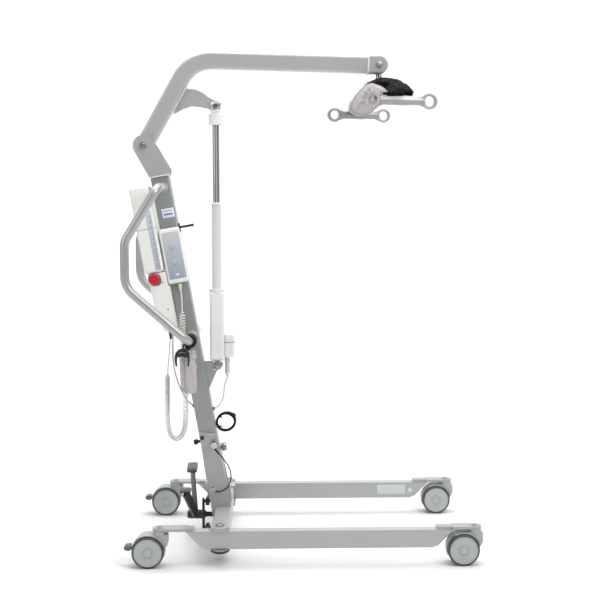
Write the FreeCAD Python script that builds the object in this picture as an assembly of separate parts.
import FreeCAD, Part
import math
import os

# Patient lift hoist: two legs on castors, a folding mast, and a boom raised by an actuator,
# with a sling bar hanging from its end.
# Millimetres, +Z up, +X forward (towards the sling bar), +Y to the hoist's left.
# The saved origin is on the floor at the centre of the footprint.
os.makedirs("parts", exist_ok=True)
V = FreeCAD.Vector

# ---------------------------------------------------------------- shared dimensions
CENTRE_X = 5.0            # shift on saving that centres the footprint on the origin
RUN = 0.05                # radial running clearance of every pivot
WALL = 3.0                # tube wall
SIDES = (-1, 1)           # right, left
NAMED_SIDES = (("right", -1), ("left", 1))

TRACK_HALF = 280.0        # half distance between the leg centrelines
LEG_W, LEG_H = 30.0, 60.0
LEG_Z0 = 55.0             # underside of the leg tube
LEG_Z1 = LEG_Z0 + LEG_H
LEG_REAR_X, LEG_FRONT_X = -362.0, 470.0   # ends of the tube's top edge
LEG_PIVOT_X = -260.0
LEG_BOLT_R = 10.0

BEAM_W = 50.0             # cross beam width along X
BEAM_X0, BEAM_X1 = LEG_PIVOT_X - BEAM_W / 2, LEG_PIVOT_X + BEAM_W / 2
BEAM_Z0, BEAM_Z1 = 54.0, 116.0
PLATE_T = 6.0             # leg pivot plates, above and below the beam
WASHER_T = 4.0

REAR_SWIVEL_X, FRONT_SWIVEL_X = -448.0, 540.0
SWIVEL_R = 8.0            # castor swivel stem

# Foot rocker and tie rods that spread the legs
ROCKER_Z = 80.0           # height of the rocker shaft
ROCKER_SHAFT_R = 8.0
CRANK = 45.5              # crank pins above and below the shaft
CRANK_X = -330.0
TIE_X, TIE_Y = -320.0, 252.0   # tie rod pin in the leg lug
TIE_PIN_R = 5.0
LUG_Z0, LUG_Z1 = 96.0, 102.0

FOLD_X, FOLD_Z = -296.0, 175.0   # mast fold pivot
LOCK_X, LOCK_Z = -289.0, 332.0   # mast lock pin
LOCK_R = 6.0
PIVOT_R = 8.0                    # fold bolt and boom pivot pin
MAST_TOP_X, MAST_TOP_Z = -464.0, 1226.0
MAST_HALF = 30.0                 # half width of the square mast tube
MAST_LEAN = 10.0                 # backwards, degrees

BOOM_PIVOT_X, BOOM_PIVOT_Z = -514.0, 1320.0
BOOM_CORNER_X, BOOM_CORNER_Z = -357.0, 1599.0
BOOM_END_X, BOOM_END_Z = 257.0, 1584.0
BOOM_H, BOOM_W = 55.0, 50.0
END_PIN_R = 7.0

ACT_X = -279.0                   # actuator axis
ACT_TOP_Z, ACT_BOTTOM_Z = 1449.0, 595.0
ACT_PIN_R = 6.0


# ---------------------------------------------------------------- helpers
# Limits may be given in either order, so that side * value works on both sides.
def box(x0, x1, y0, y1, z0, z1):
    x0, x1 = sorted((x0, x1))
    y0, y1 = sorted((y0, y1))
    z0, z1 = sorted((z0, z1))
    return Part.makeBox(x1 - x0, y1 - y0, z1 - z0, V(x0, y0, z0))


def cylinder_x(y, z, r, x0, x1):
    return Part.makeCylinder(r, x1 - x0, V(x0, y, z), V(1, 0, 0))


def cylinder_y(x, z, r, y0, y1):
    y0, y1 = sorted((y0, y1))
    return Part.makeCylinder(r, y1 - y0, V(x, y0, z), V(0, 1, 0))


def cylinder_z(x, y, r, z0, z1):
    z0, z1 = sorted((z0, z1))
    return Part.makeCylinder(r, z1 - z0, V(x, y, z0), V(0, 0, 1))


def plate_xz(points, y0, y1):
    """Plate with an outline of (x, z) points, between two Y values."""
    y0, y1 = sorted((y0, y1))
    corners = [V(x, y0, z) for x, z in points]
    return Part.Face(Part.makePolygon(corners + corners[:1])).extrude(V(0, y1 - y0, 0))


def fuse(first, *others):
    for other in others:
        first = first.fuse(other)
    return first.removeSplitter()


def turned_y(x, z, *steps):
    """Stepped pin along Y; each step is (radius, y0, y1)."""
    return fuse(*[cylinder_y(x, z, r, y0, y1) for r, y0, y1 in steps])


def flat_bar(start, end, width_dir, width, thickness):
    start, end = V(*start), V(*end)
    along = end - start
    across = V(*width_dir)
    across = (across - along * (across.dot(along) / along.dot(along))).normalize()
    normal = along.cross(across).normalize()
    w, t = width / 2, thickness / 2
    corners = [start + across * a + normal * b for a, b in ((-w, -t), (w, -t), (w, t), (-w, t))]
    return Part.Face(Part.makePolygon(corners + corners[:1])).extrude(along)


def filleted_path(points, radii):
    """Wire through the points with an arc of the given radius at each inner one."""
    points = [V(*p) for p in points]
    edges, last = [], points[0]
    for before, corner, after, radius in zip(points, points[1:], points[2:], radii):
        back, onward = (before - corner).normalize(), (after - corner).normalize()
        half = back.getAngle(onward) / 2
        setback = radius / math.tan(half)
        arc_start, arc_end = corner + back * setback, corner + onward * setback
        inward = (back + onward).normalize()
        centre = corner + inward * (radius / math.sin(half))
        if (arc_start - last).Length > 1e-4:
            edges.append(Part.makeLine(last, arc_start))
        edges.append(Part.Arc(arc_start, centre - inward * radius, arc_end).toShape())
        last = arc_end
    edges.append(Part.makeLine(last, points[-1]))
    return Part.Wire(edges)


def round_sweep(path, r):
    first = path.Edges[0]
    t = first.FirstParameter
    circle = Part.Wire([Part.makeCircle(r, first.valueAt(t), first.tangentAt(t))])
    return path.makePipeShell([circle], True, True)


def smooth_lead(points, r):
    """Round lead along a smooth curve through the points."""
    curve = Part.BSplineCurve()
    curve.interpolate([V(*p) for p in points])
    return round_sweep(Part.Wire([curve.toShape()]), r)


def rounded_rectangle(centre, u_dir, v_dir, width, height, r):
    """Rounded rectangle wire; width lies along u_dir and height along v_dir."""
    w, h = width / 2, height / 2
    a, b = w - r, h - r                       # ends of the straight sides
    k = r * (1 - math.sqrt(0.5))
    m, n = w - k, h - k                       # middles of the corner arcs
    stops = [(-a, -h), (a, -h), (m, -n), (w, -b), (w, b), (m, n),
             (a, h), (-a, h), (-m, n), (-w, b), (-w, -b), (-m, -n), (-a, -h)]
    p = [centre + u_dir * u + v_dir * v for u, v in stops]
    edges = []
    for i in range(0, 12, 3):
        edges.append(Part.makeLine(p[i], p[i + 1]))
        edges.append(Part.Arc(p[i + 1], p[i + 2], p[i + 3]).toShape())
    return Part.Wire(edges)


def rounded(shape, r, edges=None):
    """Fillet the given edges, or all of them."""
    # Guards against a fillet that can't be built: the shape then stays plain.
    try:
        out = shape.makeFillet(r, edges if edges is not None else shape.Edges)
        if out.isValid() and out.Volume > 0:
            return out
    except Exception:
        pass
    return shape


def side_edges(shape, limit=1.0):
    """Edges that lie in a plane of constant Y."""
    return [e for e in shape.Edges if e.BoundBox.YLength < limit]


def biggest(shape):
    return max(shape.Solids, key=lambda s: s.Volume)


def save(name, *shapes):
    """Write one file: a solid, or a group of solids."""
    solids = [solid for shape in shapes for solid in shape.Solids]
    out = (solids[0] if len(solids) == 1 else Part.makeCompound(solids)).copy()
    out.translate(V(CENTRE_X, 0, 0))
    out.exportStep("parts/%s.step" % name)


# ---------------------------------------------------------------- base
def cross_beam():
    """Open-ended box tube with a pivot plate above and below each end."""
    plate_r, root_y, beam_y = 30, 200, 255
    beam = box(BEAM_X0, BEAM_X1, -beam_y, beam_y, BEAM_Z0, BEAM_Z1)
    beam = beam.cut(box(BEAM_X0 + WALL, BEAM_X1 - WALL, -beam_y - 1, beam_y + 1,
                        BEAM_Z0 + WALL, BEAM_Z1 - WALL))
    for side in SIDES:
        y = side * TRACK_HALF
        for z in (BEAM_Z0 - PLATE_T, BEAM_Z1):
            plate = fuse(box(LEG_PIVOT_X - plate_r, LEG_PIVOT_X + plate_r, side * root_y, y,
                             z, z + PLATE_T),
                         cylinder_z(LEG_PIVOT_X, y, plate_r, z, z + PLATE_T))
            hole = cylinder_z(LEG_PIVOT_X, y, LEG_BOLT_R, z - 1, z + PLATE_T + 1)
            beam = beam.fuse(plate.cut(hole))
    return beam.removeSplitter()


def leg_bolt(side):
    steps = ((LEG_BOLT_R, 42, 128), (14, 126, 130), (13, 40, 44))    # radius, z0, z1
    return fuse(*[cylinder_z(LEG_PIVOT_X, side * TRACK_HALF, r, z0, z1) for r, z0, z1 in steps])


def leg_washer(side, z):
    y = side * TRACK_HALF
    hole = cylinder_z(LEG_PIVOT_X, y, LEG_BOLT_R, z - 1, z + WASHER_T + 1)
    return cylinder_z(LEG_PIVOT_X, y, 27, z, z + WASHER_T).cut(hole)


# Side plate of the foot bracket: x, z
FOOT_SIDE = [(-341, 370), (-284, 366), (-250, 206), (-237, 140), (-235, 116),
             (-285, 116), (-285, 62), (-293, 62), (-306, 140), (-315, 194)]


def foot_bracket():
    inner, outer = 31, 37
    foot = plate_xz(FOOT_SIDE, -outer, -inner).fuse(plate_xz(FOOT_SIDE, inner, outer))
    foot = foot.fuse(box(-293, -287, -inner, inner, 62, 114))    # web behind the beam
    # low strip between the front edges of the side plates
    strip = [(-246, 116), (-240, 116), (-238, 119), (-244, 119)]
    foot = foot.fuse(plate_xz(strip, -inner, inner))
    foot = foot.cut(cylinder_y(FOLD_X, FOLD_Z, PIVOT_R, -40, 40))
    return foot.cut(cylinder_y(LOCK_X, LOCK_Z, LOCK_R + RUN, -40, 0)).removeSplitter()


def pedal_shaft():
    return fuse(cylinder_x(0, ROCKER_Z, ROCKER_SHAFT_R, -380, -293),
                cylinder_x(0, ROCKER_Z, 12, -325, -321),
                cylinder_x(0, ROCKER_Z, 13, -384, -376.5))


save("cross_beam", cross_beam())
save("leg_pivot_bolts", *[leg_bolt(side) for side in SIDES])
save("leg_pivot_washers", *[leg_washer(side, z) for side in SIDES
                            for z in (BEAM_Z0 - PLATE_T - WASHER_T, BEAM_Z1 + PLATE_T)])
save("foot_bracket", foot_bracket())
save("fold_pivot_bolt", turned_y(FOLD_X, FOLD_Z, (PIVOT_R, -40, 40), (11, -43, -37),
                                 (11, 37, 43), (7, -46, -43)))
save("pedal_shaft", pedal_shaft())


# ---------------------------------------------------------------- legs
def leg(side):
    """Rectangular tube with sloping open ends, a pivot sleeve and a tie rod lug."""
    overrun = 9           # the cavity runs past both ends
    lug_r = 15
    y = side * TRACK_HALF
    y0, y1 = y - LEG_W / 2, y + LEG_W / 2
    inner_y, outer_y = side * (TRACK_HALF - LEG_W / 2), side * (TRACK_HALF + LEG_W / 2)
    outside = plate_xz([(LEG_REAR_X, LEG_Z1), (LEG_REAR_X + LEG_H, LEG_Z0),
                        (LEG_FRONT_X - LEG_H, LEG_Z0), (LEG_FRONT_X, LEG_Z1)], y0, y1)
    outside = rounded(outside, 4, [e for e in outside.Edges if abs(e.BoundBox.ZLength) < 0.01
                                   and e.BoundBox.XLength > 100])
    cavity = plate_xz([(LEG_REAR_X - overrun, LEG_Z1 - WALL),
                       (LEG_REAR_X + LEG_H - WALL - overrun, LEG_Z0 + WALL),
                       (LEG_FRONT_X - LEG_H + WALL + overrun, LEG_Z0 + WALL),
                       (LEG_FRONT_X + overrun, LEG_Z1 - WALL)], y0 + WALL, y1 - WALL)
    tube = outside.cut(cavity).fuse(cylinder_z(LEG_PIVOT_X, y, 13, LEG_Z0, LEG_Z1))
    lug = fuse(box(TIE_X - lug_r, TIE_X + lug_r, inner_y, side * TIE_Y, LUG_Z0, LUG_Z1),
               cylinder_z(TIE_X, side * TIE_Y, lug_r, LUG_Z0, LUG_Z1))
    lug = lug.cut(box(-400, -200, outer_y, inner_y, 90, 110))    # stop at the leg's inner face
    tube = tube.fuse(lug).cut(cylinder_z(LEG_PIVOT_X, y, LEG_BOLT_R + RUN, 0, 200))
    tube = tube.cut(cylinder_z(TIE_X, side * TIE_Y, TIE_PIN_R + RUN, 90, 110))
    return tube.removeSplitter()


def castor_plate(side, swivel_x, plate_x, leg_x, out):
    """Flat plate from swivel_x to plate_x on top of the leg, with a slope down the end at leg_x.

    out is the X direction away from the leg: -1 at the rear, 1 at the front.
    """
    y = side * TRACK_HALF
    plate_r, thick = 22, 8
    drop, slope_run = 54, 7.07     # height of the slope and its thickness along X
    plate = fuse(box(swivel_x, plate_x, y - plate_r, y + plate_r, LEG_Z1, LEG_Z1 + thick),
                 cylinder_z(swivel_x, y, plate_r, LEG_Z1, LEG_Z1 + thick))
    # narrow to the tube width over the leg
    for edge in SIDES:
        plate = plate.cut(box(leg_x, plate_x, y + edge * 30, y + edge * LEG_W / 2,
                              LEG_Z1 - 1, LEG_Z1 + thick + 1))
    foot_x = leg_x - out * drop
    slope = plate_xz([(leg_x, LEG_Z1), (foot_x, LEG_Z1 - drop),
                      (foot_x + out * slope_run, LEG_Z1 - drop),
                      (leg_x + out * slope_run, LEG_Z1)], y - LEG_W / 2, y + LEG_W / 2)
    plate = plate.fuse(slope).cut(cylinder_z(swivel_x, y, SWIVEL_R + RUN, 0, 200))
    return plate.removeSplitter()


for side_name, side in NAMED_SIDES:
    save("leg_" + side_name, leg(side))
    save("leg_%s_castor_plates" % side_name,
         castor_plate(side, REAR_SWIVEL_X, -340.0, LEG_REAR_X, -1),
         castor_plate(side, FRONT_SWIVEL_X, 420.0, LEG_FRONT_X, 1))

# ---------------------------------------------------------------- castors
WHEEL_R = 50.0            # also the axle height
RIM_R = 44.5              # inside of the tyre
TRAIL = 36.0              # wheel centre behind the swivel axis
AXLE_R = 6.0
HOOD_R, HOOD_HALF = 54.0, 25.0
HOOD_T = 2.2
BRAKE_BACK, BRAKE_Z = 56.5, 61.0     # brake pivot: distance behind the axle, height
BRAKE_PIN_R = 3.0


def castor_yoke(swivel_x, y, braked):
    axle_x = swivel_x - TRAIL
    yoke = fuse(cylinder_z(swivel_x, y, 21, 101, LEG_Z1 - 0.5),
                cylinder_z(swivel_x, y, SWIVEL_R, 100, 125),
                cylinder_z(swivel_x, y, 11, LEG_Z1 + 8.5, LEG_Z1 + 10.5))
    # narrow hood over the inner halves of the wheels, open below and behind
    hood = cylinder_y(axle_x, WHEEL_R, HOOD_R, y - HOOD_HALF, y + HOOD_HALF)
    hood = hood.cut(cylinder_y(axle_x, WHEEL_R, HOOD_R - HOOD_T,
                               y - HOOD_HALF - 1, y + HOOD_HALF + 1))
    hood = hood.cut(box(axle_x - 80, axle_x + 80, y - 40, y + 40, -20, 66))
    hood = hood.cut(box(axle_x - 80, axle_x - HOOD_R / 2, y - 40, y + 40, -20, 120))
    # web between the wheels
    web = cylinder_y(axle_x, WHEEL_R, HOOD_R - 1.5, y - 9.5, y + 9.5)
    web = web.cut(box(axle_x - 80, axle_x + 80, y - 40, y + 40, -20, 30))
    # neck in front, under the swivel
    neck = plate_xz([(axle_x + 30, 54), (axle_x + 50, 54), (swivel_x + 25, 72),
                     (swivel_x + 26, 80), (swivel_x + 25, 104), (axle_x + 10, 104)],
                    y - 18, y + 18)
    neck = neck.cut(cylinder_y(axle_x, WHEEL_R, HOOD_R - HOOD_T, y - 20, y + 20))
    yoke = fuse(yoke, hood, web, neck)
    if braked:
        ear_x, ear_r = axle_x - BRAKE_BACK, 5.5
        ear = fuse(box(ear_x, axle_x - 46, y - 6, y + 6, BRAKE_Z - ear_r, BRAKE_Z + ear_r),
                   cylinder_y(ear_x, BRAKE_Z, ear_r, y - 6, y + 6))
        hole = cylinder_y(ear_x, BRAKE_Z, BRAKE_PIN_R + RUN, y - 10, y + 10)
        yoke = yoke.fuse(ear).cut(hole)
    yoke = yoke.cut(cylinder_y(axle_x, WHEEL_R, AXLE_R + RUN, y - 40, y + 40))
    return yoke.removeSplitter()


def castor_tyre(axle_x, y, side):
    tyre = cylinder_y(axle_x, WHEEL_R, WHEEL_R, y + side * 11, y + side * 32)
    tyre = rounded(tyre, 4, [e for e in tyre.Edges if e.Curve.TypeId == "Part::GeomCircle"])
    return tyre.cut(cylinder_y(axle_x, WHEEL_R, RIM_R, y + side * 10, y + side * 33))


def castor_hub(axle_x, y):
    """Two wheel discs on one axle, each with a raised ring on its outer face."""
    hub = cylinder_y(axle_x, WHEEL_R, AXLE_R, y - 12, y + 12)
    for side in SIDES:
        disc = cylinder_y(axle_x, WHEEL_R, RIM_R, y + side * 11, y + side * 31)
        ring = cylinder_y(axle_x, WHEEL_R, 18, y + side * 31, y + side * 33)
        ring = ring.cut(cylinder_y(axle_x, WHEEL_R, 14, y + side * 30, y + side * 34))
        hub = hub.fuse(disc.fuse(ring))
    return hub.removeSplitter()


def brake_lever(axle_x, y):
    pivot_x, middle_x = axle_x - BRAKE_BACK, axle_x - 62
    y0, y1 = y - 14, y + 14
    lever = fuse(cylinder_y(middle_x - 5, BRAKE_Z, 9, y0, y1),
                 cylinder_y(middle_x + 5, BRAKE_Z, 9, y0, y1),
                 box(middle_x - 5, middle_x + 5, y0, y1, BRAKE_Z - 9, BRAKE_Z + 9))
    # shallow arcs above and below
    for dz in (-13, 13):
        lever = lever.common(cylinder_y(middle_x, BRAKE_Z + dz, 22, y0, y1))
    lever = rounded(lever, 2.5, side_edges(lever, 0.01))
    # room for the wheels over the whole press, in degrees
    for angle in (-14, -7, 0, 7, 14):
        room = cylinder_y(axle_x, WHEEL_R, HOOD_R - 0.8, y - 16, y + 16)
        room.rotate(V(pivot_x, 0, BRAKE_Z), V(0, 1, 0), angle)
        lever = lever.cut(room)
    # slot for the yoke's ear
    lever = lever.cut(box(pivot_x, axle_x - 40, y - 6.5, y + 6.5, 40, 80))
    lever = lever.cut(cylinder_y(pivot_x, BRAKE_Z, 6.2, y - 6.5, y + 6.5))
    return lever.fuse(cylinder_y(pivot_x, BRAKE_Z, BRAKE_PIN_R, y - 12, y + 12)).removeSplitter()


for end_name, swivel_x, braked in (("rear", REAR_SWIVEL_X, True),
                                   ("front", FRONT_SWIVEL_X, False)):
    for side_name, side in NAMED_SIDES:
        place = end_name + "_" + side_name
        axle_x, y = swivel_x - TRAIL, side * TRACK_HALF
        save("castor_%s_yoke" % place, castor_yoke(swivel_x, y, braked))
        save("castor_%s_tyres" % place, *[castor_tyre(axle_x, y, wheel) for wheel in SIDES])
        save("castor_%s_hubs" % place, castor_hub(axle_x, y))
        if braked:
            save("brake_" + place, brake_lever(axle_x, y))

# ---------------------------------------------------------------- pedal rocker and tie rods
PEDAL_X, PEDAL_Y, PEDAL_Z = -378, 150, 198     # outer end of the pedal arm
PEDAL_TILT = 12


def pedal_pad(side):
    y = side * PEDAL_Y
    pad = rounded(box(-396, -360, y - 28, y + 28, 199.5, 212), 5)
    pad.rotate(V(PEDAL_X, y, PEDAL_Z), V(1, 0, 0), side * PEDAL_TILT)
    return pad


def pedal_rocker(pads):
    crank_x0, crank_x1 = CRANK_X - 4, CRANK_X + 4
    rocker = fuse(cylinder_x(0, ROCKER_Z, 15, -376, crank_x0),
                  flat_bar((CRANK_X, 0, ROCKER_Z - CRANK), (CRANK_X, 0, ROCKER_Z + CRANK),
                           (0, 1, 0), 22, 8),
                  cylinder_x(0, ROCKER_Z, 16, crank_x0, crank_x1))
    for side in SIDES:
        crank_z = ROCKER_Z + side * CRANK
        rocker = rocker.fuse(cylinder_x(0, crank_z, 11, crank_x0, crank_x1))
        rocker = rocker.fuse(cylinder_x(0, crank_z, 5, -328, -306))
        rocker = rocker.fuse(flat_bar((-356, 0, ROCKER_Z), (PEDAL_X, side * PEDAL_Y, PEDAL_Z),
                                      (0, side * 0.6, 1), 30, 9))
    rocker = rocker.cut(cylinder_x(0, ROCKER_Z, ROCKER_SHAFT_R + RUN, -390, -320))
    rocker = rocker.removeSplitter()
    for pad in pads:
        rocker = rocker.cut(pad)
    return biggest(rocker)


def tie_rod(side):
    """The left rod runs from the upper crank pin, the right rod from the lower one."""
    lug_z = (LUG_Z0 + LUG_Z1) / 2
    eye_z = lug_z + side * 7.5
    crank_z = ROCKER_Z + side * CRANK
    y = side * TIE_Y
    head = box(-322, -310, -11, 11, crank_z - 13, crank_z + 13)
    head = rounded(head, 4, [e for e in head.Edges if e.BoundBox.XLength > 11])
    rod = fuse(cylinder_z(TIE_X, y, 9, eye_z - 4, eye_z + 4),
               cylinder_z(TIE_X, y, TIE_PIN_R, eye_z, lug_z - side * 5),
               flat_bar((-316, 0, crank_z), (TIE_X, y, eye_z), (1, 0, 0), 10, 8), head)
    # slot round the crank pin, longer towards the rocker shaft
    slot = box(-330, -300, -5.4, 5.4, crank_z - side * 7.4, crank_z + side * 5.4)
    return rod.cut(slot).removeSplitter()


pads = [pedal_pad(side) for side in SIDES]
save("pedal_rocker", pedal_rocker(pads))
save("pedal_pads", *pads)
for side_name, side in NAMED_SIDES:
    save("tie_rod_" + side_name, tie_rod(side))

# ---------------------------------------------------------------- mast
LEAN_SIN, LEAN_COS = math.sin(math.radians(MAST_LEAN)), math.cos(math.radians(MAST_LEAN))
# mast centreline at the height of the fold pivot
MAST_FOOT_X = MAST_TOP_X + (MAST_TOP_Z - FOLD_Z) * LEAN_SIN / LEAN_COS


def along_mast(z):
    """Distance along the leaning mast from the fold height to a height."""
    return (z - FOLD_Z) / LEAN_COS


def on_mast(shape):
    """Put a shape drawn upright (x forward, z up, origin at the fold height) on the mast."""
    out = shape.copy()
    out.rotate(V(0, 0, 0), V(0, 1, 0), -MAST_LEAN)
    out.translate(V(MAST_FOOT_X, 0, FOLD_Z))
    return out


def mast_outside():
    h = MAST_HALF
    block = box(-h, h, -h, h, -62, along_mast(MAST_TOP_Z))
    return rounded(block, 6, [e for e in block.Edges if e.BoundBox.ZLength > 500])


def mast_tube(outside):
    h, inside = MAST_HALF, MAST_HALF - WALL
    cavity = box(-inside, inside, -inside, inside, -70, along_mast(MAST_TOP_Z) - 5)
    mast = on_mast(outside.cut(cavity))
    # the foot is rounded about the fold pivot
    mast = mast.common(fuse(box(-900, 0, -100, 100, FOLD_Z, 1500),
                            cylinder_y(FOLD_X, FOLD_Z, 36.5, -100, 100)))
    mast = mast.fuse(cylinder_y(FOLD_X, FOLD_Z, 12, -h, h))
    mast = mast.cut(cylinder_y(FOLD_X, FOLD_Z, PIVOT_R + RUN, -60, 60))
    mast = mast.cut(cylinder_y(LOCK_X, LOCK_Z, LOCK_R + 4 * RUN, -60, -20))
    return mast.removeSplitter()


# Plate that carries the actuator foot: x, z
ACTUATOR_LUG = [(-330, 602), (-268, 604), (-263, 592), (-268, 582), (-280, 576), (-309, 508)]


def actuator_lug(side, outside):
    lug = plate_xz(ACTUATOR_LUG, side * 13.5, side * 19.5).cut(on_mast(outside))
    return biggest(lug.cut(cylinder_y(ACT_X, ACT_BOTTOM_Z, ACT_PIN_R, -40, 40)))


def hinge_plate(side):
    x, z = BOOM_PIVOT_X, BOOM_PIVOT_Z
    y0, y1 = side * MAST_HALF, side * (MAST_HALF + 6)
    web = plate_xz([(x - 33, z + 8), (x - 30, z - 17), (-495, 1216), (-430, 1228),
                    (-428, 1243), (x + 30, z + 16), (x, z + 30)], y0, y1)
    return fuse(web, cylinder_y(x, z, 34, y0, y1)).cut(cylinder_y(x, z, PIVOT_R, -60, 60))


def pendant_peg():
    """Ball-ended peg on a small plate on the front of the mast."""
    h = MAST_HALF
    peg = fuse(box(h, h + 4, -9, 9, -14, 14), cylinder_x(0, 0, 4, h, h + 46),
               Part.makeSphere(5, V(h + 45, 0, 0)))
    peg.translate(V(0, 0, along_mast(1048)))
    return on_mast(peg)


def handle(side):
    inner, outer = side * MAST_HALF, side * 190.0
    path = filleted_path([(-452, inner, 1183), (-452, outer, 1183), (-558, outer, 1012),
                          (-558, outer, 868), (-358, outer, 692), (-360, inner, 697)],
                         [36, 60, 75, 36])
    return round_sweep(path, 14.0).cut(box(-700, -200, -MAST_HALF, MAST_HALF, 600, 1300))


outside = mast_outside()
save("mast_tube", mast_tube(outside))
save("mast_actuator_bracket", *[actuator_lug(side, outside) for side in SIDES])
save("mast_hinge_plates", *[hinge_plate(side) for side in SIDES])
save("mast_pins",
     turned_y(BOOM_PIVOT_X, BOOM_PIVOT_Z, (PIVOT_R, -40, 40), (11, 36, 43), (11, -43, -36)),
     turned_y(ACT_X, ACT_BOTTOM_Z, (ACT_PIN_R, -24, 24), (9, -24, -20), (8, 21, 23)))
save("pendant_peg", pendant_peg())
for side_name, side in NAMED_SIDES:
    save("handle_" + side_name, handle(side))

# ---------------------------------------------------------------- controls on the mast
# Distances along the mast, and x from its centreline
BATTERY_TOP = along_mast(1183) + 16
BATTERY_BOTTOM = along_mast(918)
CONTROL_BOTTOM = along_mast(720)
STOP_X, STOP_S = -77, along_mast(898)
STOP_R = 8
PENDANT_S = along_mast(962)
PENDANT_BUTTONS = (("up", 30), ("down", -22))    # name, distance above the pendant's middle
BUTTON_R = 9


def control_box():
    """Box behind the mast, under the battery, with a stop button pocket on its right."""
    top, bottom = BATTERY_BOTTOM - 2, CONTROL_BOTTOM
    case = plate_xz([(-MAST_HALF, top), (-MAST_HALF, bottom + 6), (-50, bottom - 4),
                     (-76, bottom + 6), (-92, bottom + 60), (-96, top)], -55, 55)
    case = rounded(case, 8, [e for e in side_edges(case) if e.BoundBox.XMax < -31])
    case = case.cut(Part.makeCone(23, 20, 3, V(STOP_X, -55, STOP_S), V(0, 1, 0)))
    case = case.cut(cylinder_y(STOP_X, STOP_S, STOP_R + RUN, -60, -35))
    # relief beside the pendant
    case = case.cut(box(-35.5, 0, -70, -30.5, PENDANT_S - 95, BATTERY_BOTTOM + 5))
    return biggest(on_mast(case))


def battery_pack():
    pack = rounded(box(-104, -40, -60, 60, BATTERY_BOTTOM, BATTERY_TOP), 10)
    mount = box(-42, -MAST_HALF, -29, 29, BATTERY_BOTTOM + 10, BATTERY_TOP - 30)
    return on_mast(pack.fuse(mount).removeSplitter())


def stop_button():
    return on_mast(fuse(cylinder_y(STOP_X, STOP_S, STOP_R, -57, -42),
                        rounded(cylinder_y(STOP_X, STOP_S, 17.5, -66, -57), 3)))


def pendant_body():
    """Hand control on the right face of the mast."""
    body = rounded(box(-34, 34, -53, -31, PENDANT_S - 91, PENDANT_S + 91), 9)
    for _, dz in PENDANT_BUTTONS:
        body = body.cut(cylinder_y(0, PENDANT_S + dz, BUTTON_R + RUN, -60, -47))
    return on_mast(body)


save("control_box", control_box())
save("battery_pack", battery_pack())
save("stop_button", stop_button())
save("pendant_body", pendant_body())
for name, dz in PENDANT_BUTTONS:
    save("pendant_%s_button" % name, on_mast(cylinder_y(0, PENDANT_S + dz, BUTTON_R, -55, -49)))

# ---------------------------------------------------------------- leads and small fittings
# Centrelines of the leads: x, y, z
COIL_LEAD = [
    (-397, -42, 866), (-391, -60, 815), (-389, -76, 745), (-388, -79, 680), (-384, -79, 580),
    (-381, -78, 490), (-382, -76, 420), (-388, -74, 384), (-399, -71, 364), (-413, -69, 357),
    (-427, -67, 364), (-438, -64, 384), (-443, -60, 430), (-443, -56, 488), (-442, -50, 561),
    (-436, -44, 640), (-431, -40, 697)]
THIN_LEADS = [
    [(-421, -16, 700), (-415, -22, 640), (-404, -24, 560), (-382, -20, 492), (-366, -16, 474)],
    [(-246, 0, 552), (-250, 0, 530), (-256, 0, 488), (-276, 0, 462), (-294.5, 0, 452)]]

save("strap_ring", Part.makeTorus(30, 4.5, V(-252, 0, 399), V(0, 1, 0)))
save("coil_lead", smooth_lead(COIL_LEAD, 8))
save("thin_leads", *[smooth_lead(points, 3) for points in THIN_LEADS])
save("accessory_pouch", rounded(box(-401, -335, -146, -97, 518, 662), 14))
save("mast_lock_pin", turned_y(LOCK_X, LOCK_Z, (LOCK_R, -52, -31.2), (11, -66, -48),
                               (14, -50, -47)))

# ---------------------------------------------------------------- boom
BOOM_CORNER = V(BOOM_CORNER_X, 0, BOOM_CORNER_Z)
BOOM_END = V(BOOM_END_X, 0, BOOM_END_Z)
REAR_DIR = (BOOM_CORNER - V(BOOM_PIVOT_X, 0, BOOM_PIVOT_Z)).normalize()
FRONT_DIR = (BOOM_END - BOOM_CORNER).normalize()
TUBE_START = V(BOOM_PIVOT_X, 0, BOOM_PIVOT_Z) - REAR_DIR * 27
TUBE_END = BOOM_END - FRONT_DIR * 36
BOOM_DROOP = math.degrees(math.atan2(BOOM_CORNER_Z - BOOM_END_Z, BOOM_END_X - BOOM_CORNER_X))


def boom_sweep(height, width, corner_r):
    path = filleted_path([tuple(TUBE_START), tuple(BOOM_CORNER), tuple(TUBE_END)], [115.0])
    across = V(0, 1, 0)
    normal = across.cross(REAR_DIR).normalize()
    profile = rounded_rectangle(TUBE_START, normal, across, height, width, corner_r)
    return path.makePipeShell([profile], True, True)


def boom_tube(boom_outside):
    cavity = boom_sweep(BOOM_H - 2 * WALL, BOOM_W - 2 * WALL, 9)
    # the ends of the tube stay closed
    ends = Part.makeCylinder(60, 4, TUBE_START, REAR_DIR)
    ends = ends.fuse(Part.makeCylinder(60, 4, TUBE_END - FRONT_DIR * 4, FRONT_DIR))
    boom = boom_outside.cut(cavity.cut(ends))
    boom = boom.fuse(cylinder_y(BOOM_PIVOT_X, BOOM_PIVOT_Z, 20, -29.5, 29.5))
    boom = boom.cut(cylinder_y(BOOM_PIVOT_X, BOOM_PIVOT_Z, PIVOT_R + RUN, -60, 60))
    return biggest(boom.removeSplitter())


def boom_fin(boom_outside):
    """Plate under the boom bend that carries the top of the actuator."""
    x, z = ACT_X, ACT_TOP_Z
    fin = plate_xz([(-400, 1520), (-372, 1506), (-345, 1503), (-322, 1494), (-303, 1479),
                    (x, z + 17), (x + 10, z + 13), (x + 17, z), (x + 10, z - 13), (x, z - 17),
                    (-300, 1441), (-330, 1447), (-358, 1449), (-385, 1440), (-415, 1424)], -6, 6)
    fin = fin.fuse(cylinder_y(x, z, 17, -6, 6)).cut(boom_outside)
    return biggest(fin.cut(cylinder_y(x, z, ACT_PIN_R, -30, 30)))


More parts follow.
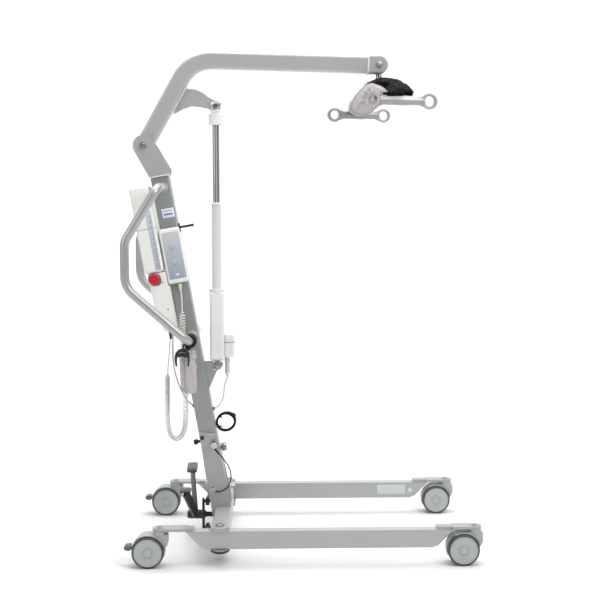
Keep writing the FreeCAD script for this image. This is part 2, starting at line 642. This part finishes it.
def at_boom_end(shape):
    """Turn a shape drawn about the origin to the boom's slope and move it to the end pin."""
    shape.rotate(V(0, 0, 0), V(0, 1, 0), BOOM_DROOP)
    shape.translate(BOOM_END)
    return shape


def boom_head(boom_outside):
    """Forked head at the front end of the boom."""
    half = BOOM_W / 2
    head = cylinder_y(BOOM_END_X, BOOM_END_Z, 29, -half, half)
    head = head.fuse(at_boom_end(box(-37, 0, -half, half, -28, 28))).removeSplitter()
    head = rounded(head, 5, side_edges(head)).cut(boom_outside)
    head = head.cut(at_boom_end(box(-29, 51, -12.5, 12.5, -50, 50)))
    return biggest(head.cut(cylinder_y(BOOM_END_X, BOOM_END_Z, END_PIN_R, -60, 60)))


boom_outside = boom_sweep(BOOM_H, BOOM_W, 12)
save("boom_tube", boom_tube(boom_outside))
save("boom_actuator_fin", boom_fin(boom_outside))
save("boom_end_head", boom_head(boom_outside))
save("boom_pins",
     turned_y(BOOM_END_X, BOOM_END_Z, (END_PIN_R, -28, 28), (10, 25, 30), (10, -30, -25)),
     turned_y(ACT_X, ACT_TOP_Z, (ACT_PIN_R, -20, 20), (10, -20, -16), (9, 16, 18)))

# ---------------------------------------------------------------- actuator
OUTER_TUBE_R, ROD_R = 15.5, 11.0


def actuator_case():
    return rounded(box(ACT_X - 24, ACT_X + 24, -24, 24, 609, 840), 9)


def actuator_housing():
    x, z = ACT_X, ACT_BOTTOM_Z
    case = fuse(actuator_case(), cylinder_z(x, 0, 25, 834, 848),
                rounded(cylinder_y(x, z, 14, -13, 13), 2), box(x - 12, x + 12, -13, 13, z, 616))
    case = case.cut(cylinder_y(x, z, ACT_PIN_R + RUN, -60, 60))
    case = case.cut(cylinder_z(x, 0, OUTER_TUBE_R, 840, 900))
    return case.cut(cylinder_z(x, 0, 12, 800, 900)).removeSplitter()


def actuator_motor():
    """Block on the front of the housing, with a short round stub below."""
    motor = rounded(box(ACT_X + 24, ACT_X + 58, -21, 21, 621, 700), 7)
    motor = fuse(motor, cylinder_x(0, 661, 18, ACT_X + 23, ACT_X + 30)).cut(actuator_case())
    return fuse(biggest(motor), cylinder_z(-246, 0, 7, 560, 625))


def rod_fork():
    x, z = ACT_X, ACT_TOP_Z
    fork = rounded(cylinder_z(x, 0, 23.5, 1388, 1425), 4)
    fork = fork.cut(cylinder_z(x, 0, ROD_R, 1380, 1392))
    fork = fork.fuse(box(x - 14, x + 14, -13, 13, 1424, 1430))
    for side in SIDES:
        fork = fork.fuse(box(x - 14, x + 14, side * 6.5, side * 13, 1424, z + 14))
    # mouth open to the front, flaring by 20 degrees above and below
    gap, rise = ACT_PIN_R + RUN, 20 * math.tan(math.radians(20))
    mouth = plate_xz([(x - 1, z - gap), (x + 20, z - gap - rise),
                      (x + 20, z + gap + rise), (x - 1, z + gap)], -30, 30)
    return fork.cut(cylinder_y(x, z, gap, -30, 30)).cut(mouth).removeSplitter()


save("actuator_housing", actuator_housing())
save("actuator_motor", actuator_motor())
save("actuator_outer_tube", cylinder_z(ACT_X, 0, OUTER_TUBE_R, 840, 1130).cut(
    cylinder_z(ACT_X, 0, ROD_R + RUN, 830, 1140)))
save("actuator_rod", cylinder_z(ACT_X, 0, ROD_R, 1100, 1392))
save("actuator_rod_fork", rod_fork())

# ---------------------------------------------------------------- hanger and sling bar
# The bar, arms, sleeve and cover are drawn about the Z axis, with the bar along Y.
YAW = 9.2                 # the sling bar hangs turned by this angle
BAR_HALF = 268.0          # arm centres from the middle of the bar
ARCH_R = 656.5            # radius of the bar's arch
ARCH_Z = 1518 - ARCH_R    # centre of the arch
STEM_R = 8.0
RING_PITCH = 89.0         # sling ring centres from the arm centre
RING_Z = 1444.0
RING_HOLE_R, RING_R = 14.0, 22.5


def swivel_eye():
    x, z = BOOM_END_X, BOOM_END_Z
    eye = fuse(rounded(cylinder_y(x, z, 15, -12, 12), 2), cylinder_z(x, 0, STEM_R, 1495, z),
               cylinder_z(x, 0, 14, 1494, 1500))
    return eye.cut(cylinder_y(x, z, END_PIN_R + RUN, -60, 60)).removeSplitter()


def arch_band(offset, half_x, half_angle):
    """Part of an arch, offset thick on each side of ARCH_R and half_x wide on each side of X 0."""
    ring = cylinder_x(0, ARCH_Z, ARCH_R + offset, -half_x, half_x)
    ring = ring.cut(cylinder_x(0, ARCH_Z, ARCH_R - offset, -half_x - 1, half_x + 1))
    angle, reach = math.radians(half_angle), 900.0
    x = -half_x - 1
    apex = V(x, 0, ARCH_Z)
    y, z = reach * math.sin(angle), ARCH_Z + reach * math.cos(angle)
    sector = Part.Face(Part.makePolygon([apex, V(x, -y, z), V(x, y, z), apex]))
    return ring.common(sector.extrude(V(2 * half_x + 2, 0, 0)))


def sling_bar():
    half_angle = math.degrees(math.asin((BAR_HALF - 7.9) / ARCH_R))
    bar = arch_band(6, 15, half_angle).fuse(cylinder_z(0, 0, 18, 1501, 1535))
    bar = bar.cut(cylinder_z(0, 0, STEM_R + RUN, 1400, 1600))
    return bar.cut(cylinder_z(0, 0, 22, 1480, 1500.6)).removeSplitter()


def sling_arm(side, bar):
    """Arm across one end of the bar, with a sling ring at each of its own ends."""
    y, z = side * BAR_HALF, 1459.0
    arm = cylinder_y(0, z - 6, 17, y - 8, y + 8)
    for end in SIDES:
        x = end * RING_PITCH
        web = [(0, z + 2), (end * 30, z + 1), (end * 60, z - 1), (x, RING_Z + 10),
               (x, RING_Z - 10), (end * 62, z - 28), (end * 30, z - 29), (0, z - 29)]
        arm = arm.fuse(plate_xz(web, y - 6, y + 6))
        arm = arm.fuse(cylinder_y(x, RING_Z, RING_R, y - 6, y + 6))
    for end in SIDES:
        arm = arm.cut(cylinder_y(end * RING_PITCH, RING_Z, RING_HOLE_R, y - 13, y + 13))
    return arm.removeSplitter().cut(bar)


def bar_sleeve():
    sleeve = rounded(arch_band(19, 42, 21.4), 12).cut(arch_band(6.2, 15.2, 24.0))
    return biggest(sleeve.cut(cylinder_z(0, 0, 19, 1450, 1600)))


# Cover over the rear ring of the right arm: x, z above the ring centre
COVER = [(-166, -27), (-158, -7), (-145, 12), (-130, 32), (-117, 46), (-104, 54), (-90, 57),
         (-75, 54), (-58, 46), (-46, 37), (-52, 24), (-60, 12), (-63, -10), (-70, -21),
         (-88, -39), (-107, -49), (-127, -52), (-146, -47), (-160, -38)]


def hook_cover(arm):
    cover = plate_xz([(x, RING_Z + z) for x, z in COVER], -BAR_HALF - 24, -BAR_HALF + 24)
    return biggest(rounded(cover, 6, side_edges(cover)).cut(arm))


def hang(shape):
    """Turn a sling bar piece by the yaw and move it under the boom end."""
    out = shape.copy()
    out.rotate(V(0, 0, 0), V(0, 0, 1), YAW)
    out.translate(V(BOOM_END_X, 0, 0))
    return out


bar = sling_bar()
arms = [sling_arm(side, bar) for side in SIDES]
save("swivel_eye", swivel_eye())
save("sling_bar", hang(bar))
save("sling_arms", *[hang(biggest(arm)) for arm in arms])
save("sling_bar_sleeve", hang(bar_sleeve()))
save("hook_cover", hang(hook_cover(arms[0])))
